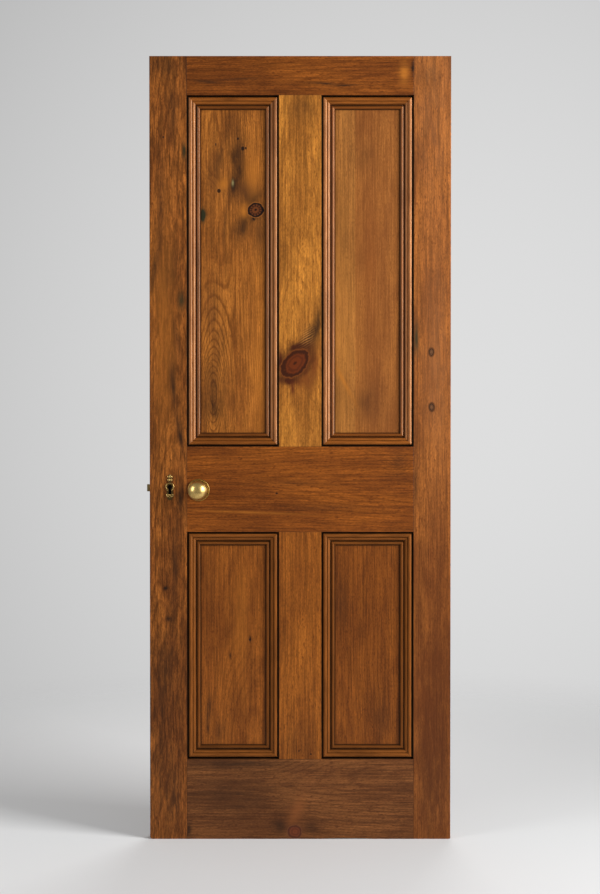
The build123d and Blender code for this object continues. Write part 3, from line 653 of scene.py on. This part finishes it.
def moulding_pine(name, upright, worn_and_lit, brown, low, wax):
    """Moulding stock: dirt and painted shade where the section is low, wax, and wear with a painted
    highlight where it stands proud.
    """
    finish, tree, shader, place = new_finish(name)
    board = grain_place(tree, place, upright, (0, 0))
    hollow, grime_and_shade_line, shoulder, crest = 0.0019, 0.0034, 0.0045, 0.0085
    fibre = speckle(tree, stretched(tree, board, (480, 480, 20)), 1.0, 4.0, 0.7)
    streak = speckle(tree, stretched(tree, board, (120, 120, 5)), 1.0, 3.0, 0.6)
    patchy = speckle(tree, stretched(tree, board, (34, 34, 9)), 1.0, 4.0, 0.65)
    depth = math_node(tree, "ABSOLUTE", coordinate(tree, place, 1))
    height = math_node(tree, "SUBTRACT", depth, panel_face_y)
    proud = between(tree, height, shoulder, crest)
    proud = math_node(tree, "MULTIPLY", proud, between(tree, patchy, 0.3, 0.62, 0.35, 1.0))
    colour = tinted(tree, between(tree, streak, 0.35, 0.7), brown, low)
    # Proud parts take a lighter tone: wear and, on the upper uprights, a painted highlight.
    colour = tinted(tree, proud, colour, worn_and_lit)
    colour = shaded(tree, colour, between(tree, fibre, 0.3, 0.7, 0.68, 1.26))
    # Low parts of the section go dark: dirt, and painted shade in the hollows.
    grime_and_shade = between(tree, height, grime_and_shade_line, hollow, 0.0, 0.7)
    colour = tinted(tree, grime_and_shade, colour, tone(30, 18, 10))
    beside_uprights, along_rails = quirk_dirt_and_shade_lines()
    quirk_dirt_and_shade = seam_and_shade_line_cover(tree, place, beside_uprights if upright else along_rails)
    # The narrow sunk strip beside the opening is painted near black: dirt, and painted shade in the
    # recess.
    colour = tinted(tree, math_node(tree, "MULTIPLY", quirk_dirt_and_shade, 0.96), colour, tone(9, 6, 4))
    tree.links.new(colour, shader.inputs["Base Color"])
    tree.links.new(between(tree, patchy, 0.3, 0.7, 0.42, 0.3), shader.inputs["Roughness"])
    shader.inputs["Specular IOR Level"].default_value = wax
    shader.inputs["Specular Tint"].default_value = (1.0, 0.76, 0.52, 1)
    relief(tree, shader, fibre, 0.3, 0.0003)
    return finish


def moulding_pines():
    """Each row's uprights and crosspieces as lit and shaded copies: the crosspieces darker, as
    painted shade, and the upper uprights palest, as wear with a painted highlight.
    """
    return {
        ("upper", True): moulding_pine("upper_upright_moulding_pine", True, tone(164, 102, 54),
                                       tone(130, 72, 31), tone(90, 48, 20), 0.46),
        ("upper", False): moulding_pine("upper_across_moulding_pine", False, tone(134, 76, 28),
                                        tone(108, 58, 20), tone(76, 40, 14), 0.18),
        ("lower", True): moulding_pine("lower_upright_moulding_pine", True, tone(130, 74, 28),
                                       tone(112, 62, 22), tone(80, 43, 15), 0.2),
        ("lower", False): moulding_pine("lower_across_moulding_pine", False, tone(126, 72, 28),
                                        tone(106, 59, 21), tone(74, 40, 14), 0.18),
    }


# Metal


def brass(name, bright, tarnish, low_y, high_y, gloss, dull, amount):
    """Brass that stays bright where hands rub it and goes brown in its hollows.

    It is brown up to low_y from the leaf's middle and bright from high_y on, gloss and dull are the
    roughness of the two, and amount is how far the bright part is clouded.
    """
    finish, tree, shader, place = new_finish(name)
    cloud = speckle(tree, place, 90.0, 4.0, 0.65)
    scratch = speckle(tree, stretched(tree, place, (900, 160, 900)), 1.0, 3.0, 0.6)
    depth = math_node(tree, "ABSOLUTE", coordinate(tree, place, 1))
    hollow = between(tree, depth, high_y, low_y)
    cover = math_node(tree, "MULTIPLY", between(tree, cloud, 0.42, 0.7), amount)
    cover = math_node(tree, "MAXIMUM", cover, hollow)
    tree.links.new(tinted(tree, cover, bright, tarnish), shader.inputs["Base Color"])
    shader.inputs["Metallic"].default_value = 1.0
    rough = math_node(tree, "MULTIPLY_ADD", cover, dull - gloss,
                      between(tree, scratch, 0.3, 0.7, gloss * 0.8, gloss * 1.3))
    tree.links.new(rough, shader.inputs["Roughness"])
    relief(tree, shader, scratch, 0.06, 0.0002)
    return finish


def iron(name, metal, rust, gloss):
    """Oiled iron with brown rust bloom."""
    finish, tree, shader, place = new_finish(name)
    bloom = speckle(tree, place, 140.0, 5.0, 0.7)
    cover = between(tree, bloom, 0.45, 0.7)
    tree.links.new(tinted(tree, cover, metal, rust), shader.inputs["Base Color"])
    tree.links.new(between(tree, bloom, 0.4, 0.7, 1.0, 0.3), shader.inputs["Metallic"])
    tree.links.new(between(tree, bloom, 0.4, 0.7, gloss, 0.85), shader.inputs["Roughness"])
    relief(tree, shader, bloom, 0.2, 0.0002)
    return finish


def rubbed_brasses():
    """The knobs, the roses, the keyhole plates, and the bolts with their forend."""
    return {
        "knob": brass("polished_brass", tone(222, 188, 116), tone(140, 104, 50),
                      face_y + 0.0005, face_y + 0.002, 0.31, 0.38, 0.6),
        "rose": brass("rose_brass", tone(168, 134, 72), tone(84, 62, 30),
                      face_y + 0.0005, face_y + 0.0024, 0.34, 0.5, 0.6),
        "plate": brass("aged_brass", tone(184, 150, 88), tone(92, 72, 40),
                       plate_y + 0.0001, plate_y + 0.0012, 0.3, 0.5, 0.6),
        "bolt": brass("bolt_brass", tone(150, 128, 84), tone(82, 66, 40), 0.0, 0.0005, 0.35, 0.5,
                      0.8),
    }


# Pieces that stand only in the scene


def smooth_with_finish(piece, finish):
    """Smooth faces up to a 30 degree edge, and one finish."""
    bpy.ops.object.shade_smooth_by_angle(angle=math.radians(30))
    piece.data.materials.clear()
    piece.data.materials.append(finish)


def keyhole_shade_sheet(finish):
    """A small sheet against the lock's inner wall, behind the keyhole, that stops the light: a
    stand-in for the shade inside the keyhole.
    """
    bpy.ops.object.select_all(action="DESELECT")
    keyhole_x, flap_y, keyhole_z = -0.330, 0.00565, 0.888
    wide, thick, tall = 0.020, 0.0006, 0.034
    bpy.ops.mesh.primitive_cube_add(size=1, location=(keyhole_x, flap_y, keyhole_z))
    shade_sheet = bpy.context.object
    shade_sheet.name = "keyhole_shade_sheet"
    shade_sheet.scale = (wide, thick, tall)
    bpy.ops.object.transform_apply(location=True, rotation=True, scale=True)
    bpy.ops.object.mode_set(mode="EDIT")
    bpy.ops.mesh.select_all(action="SELECT")
    bpy.ops.mesh.subdivide(number_cuts=3)
    bpy.ops.mesh.bevel(offset=0.0001, segments=2, affect="EDGES")
    bpy.ops.object.mode_set(mode="OBJECT")
    smooth_with_finish(shade_sheet, finish)
    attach(shade_sheet, "leaf")


def bending_latch_spring(finish):
    """The latch's leaf spring, copied as a closed, finer and smoothly shaded piece that stands in
    for the hidden solid one.
    """
    bpy.ops.object.select_all(action="DESELECT")
    solid = door["latch_spring"]
    solid.select_set(True)
    bpy.context.view_layer.objects.active = solid
    bpy.ops.object.duplicate()
    spring = bpy.context.object
    spring.name = "bending_latch_spring"
    for frame_word in [word for word in spring.keys() if word.startswith("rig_")]:
        del spring[frame_word]
    bpy.ops.object.parent_clear(type="CLEAR_KEEP_TRANSFORM")
    bpy.ops.object.transform_apply(location=True, rotation=True, scale=True)
    bpy.ops.object.mode_set(mode="EDIT")
    bpy.ops.mesh.select_all(action="SELECT")
    bpy.ops.mesh.remove_doubles(threshold=0.00001)
    bpy.ops.mesh.subdivide(number_cuts=2)
    bpy.ops.object.mode_set(mode="OBJECT")
    smooth_with_finish(spring, finish)
    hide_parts("latch_spring")
    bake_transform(spring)


# Finishes onto pieces


def board_finishes():
    return {
        "lock_stile": lock_stile_pine(), "hinge_stile": hinge_stile_pine(),
        "top_rail": top_rail_pine(), "lock_rail": lock_rail_pine(),
        "bottom_rail": bottom_rail_pine(), "upper_muntin": upper_muntin_pine(),
        "lower_muntin": lower_muntin_pine(), "upper_left_panel": upper_left_panel_pine(),
        "upper_right_panel": upper_right_panel_pine(),
        "lower_left_panel": lower_left_panel_pine(),
        "lower_right_panel": lower_right_panel_pine(), "tenon_wedges": wedge_pine(),
    }


def moulding_finishes():
    """A moulding's name says its row and side, as in front_upper_left_moulding_top."""
    mouldings, finishes = moulding_pines(), {}
    for name in door:
        if "_moulding_" in name:
            words = name.split("_")
            row, side = words[1], words[-1]
            finishes[name] = mouldings[row, side in ("left", "right")]
    return finishes


def metal_finishes(lock_iron, spring_steel):
    brasses = rubbed_brasses()
    metals = {
        brasses["knob"]: ("front_knob", "back_knob"),
        brasses["rose"]: ("front_rose", "back_rose"),
        brasses["plate"]: ("front_escutcheon", "back_escutcheon", "escutcheon_pins"),
        brasses["bolt"]: ("latch_bolt", "dead_bolt", "lock_forend"),
        lock_iron: ("lock_case", "lock_cap", "follower", "spindle", "fixing_screws"),
        spring_steel: ("latch_spring",),
    }
    return {name: metal for metal, names in metals.items() for name in names}


def finish_pieces():
    lock_iron = iron("lock_iron", tone(70, 66, 62), tone(64, 42, 28), 0.45)
    spring_steel = iron("spring_steel", tone(96, 98, 104), tone(60, 46, 36), 0.3)
    finishes = {**board_finishes(), **moulding_finishes(),
                **metal_finishes(lock_iron, spring_steel)}
    for name, piece in door.items():
        piece.data.materials.clear()
        piece.data.materials.append(finishes[name])
    keyhole_shade_sheet(lock_iron)
    bending_latch_spring(spring_steel)


# Floor, light and camera


def studio_floor():
    """Pale floor round the door's foot, painted darker to the right as shade against the strong
    right lamp, that fades into the backdrop.
    """
    left_end, right_end, left_shade, right_shade = -1.4, 1.2, 0.84, 0.58
    fade_start, fade_end, radius = 1.1, 2.6, 4.0
    bpy.ops.object.select_all(action="DESELECT")
    bpy.ops.mesh.primitive_circle_add(vertices=96, radius=radius, fill_type="NGON",
                                      location=(0, 0, 0))
    floor = bpy.context.object
    floor.name = "floor"
    paper, tree, shader, place = new_finish("pale_floor")
    shade = between(tree, coordinate(tree, place, 0), left_end, right_end, left_shade,
                    right_shade)
    tree.links.new(grey(tree, shade), shader.inputs["Base Color"])
    shader.inputs["Roughness"].default_value = 0.9
    shader.inputs["Specular IOR Level"].default_value = 0.1
    away = vector_node(tree, "LENGTH", place, out=1)
    clear = tree.nodes.new("ShaderNodeBsdfTransparent")
    mix = tree.nodes.new("ShaderNodeMixShader")
    tree.links.new(between(tree, away, fade_start, fade_end), mix.inputs[0])
    tree.links.new(shader.outputs[0], mix.inputs[1])
    tree.links.new(clear.outputs[0], mix.inputs[2])
    tree.links.new(mix.outputs[0], tree.nodes["Material Output"].inputs[0])
    floor.data.materials.append(paper)


def studio_world():
    """Pale backdrop with a painted pool of light, brightest a little right of the door, over a
    plain soft fill.
    """
    brightest_way, centre_level, fall, darkest = (0.12, 0.985, 0.02), 0.73, -1.25, 0.28
    fill_strength = 0.2
    world = bpy.data.worlds.new("studio")
    bpy.context.scene.world = world
    world.use_nodes = True
    tree = world.node_tree
    fill = tree.nodes["Background"]
    fill.inputs[0].default_value = (1, 1, 1, 1)
    fill.inputs[1].default_value = fill_strength
    way = tree.nodes.new("ShaderNodeTexCoord").outputs["Generated"]
    away = vector_node(tree, "LENGTH", vector_node(tree, "SUBTRACT", way, brightest_way), out=1)
    squared = math_node(tree, "MULTIPLY", away, away)
    level = math_node(tree, "MULTIPLY_ADD", squared, fall, centre_level)
    level = math_node(tree, "MAXIMUM", level, darkest)
    backdrop = tree.nodes.new("ShaderNodeBackground")
    tree.links.new(level, backdrop.inputs[0])
    backdrop.inputs[1].default_value = 1.0
    rays = tree.nodes.new("ShaderNodeLightPath").outputs
    seen = math_node(tree, "MAXIMUM", rays["Is Camera Ray"], rays["Is Glossy Ray"])
    seen = math_node(tree, "MAXIMUM", seen, rays["Is Transmission Ray"])
    mix = tree.nodes.new("ShaderNodeMixShader")
    tree.links.new(seen, mix.inputs[0])
    tree.links.new(fill.outputs[0], mix.inputs[1])
    tree.links.new(backdrop.outputs[0], mix.inputs[2])
    tree.links.new(mix.outputs[0], tree.nodes["World Output"].inputs[0])


def softbox(name, place, aim, size, power):
    """A rectangular lamp at a place in metres, turned to its aim, with its power in watts."""
    light = bpy.data.lights.new(name, "AREA")
    light.shape, light.size, light.size_y, light.energy = "RECTANGLE", *size, power
    lamp = bpy.data.objects.new(name, light)
    lamp.location = place
    lamp.rotation_euler = (Vector(aim) - Vector(place)).to_track_quat("-Z", "Y").to_euler()
    bpy.context.scene.collection.objects.link(lamp)


def studio_light():
    softbox("right_softbox", (2.1, -1.1, 1.7), (0, 0, 1.6), (1.2, 1.8), 109)
    softbox("left_softbox", (-2.1, -1.3, 1.7), (0, 0, 1.6), (0.9, 1.5), 21)
    softbox("rear_softbox", (0.6, 2.6, 1.9), (0, 0, 1.0), (1.6, 1.6), 38)


def studio_camera():
    """Level with the middle of the door, 3.5 m off its face, tipped a little down."""
    lens_mm, tip_down = 55.71, 0.7
    camera = bpy.data.cameras.new("camera")
    seat = bpy.data.objects.new("camera", camera)
    bpy.context.scene.collection.objects.link(seat)
    camera.sensor_width = 36
    camera.lens = lens_mm
    seat.location = (-0.0006, -3.519, 1.0378)
    seat.rotation_euler = (math.radians(90 - tip_down), 0, 0)
    bpy.context.scene.camera = seat


def set_the_scene():
    studio_floor()
    studio_world()
    studio_light()
    studio_camera()
    bpy.context.scene.view_settings.view_transform = "Standard"


finish_pieces()
set_the_scene()
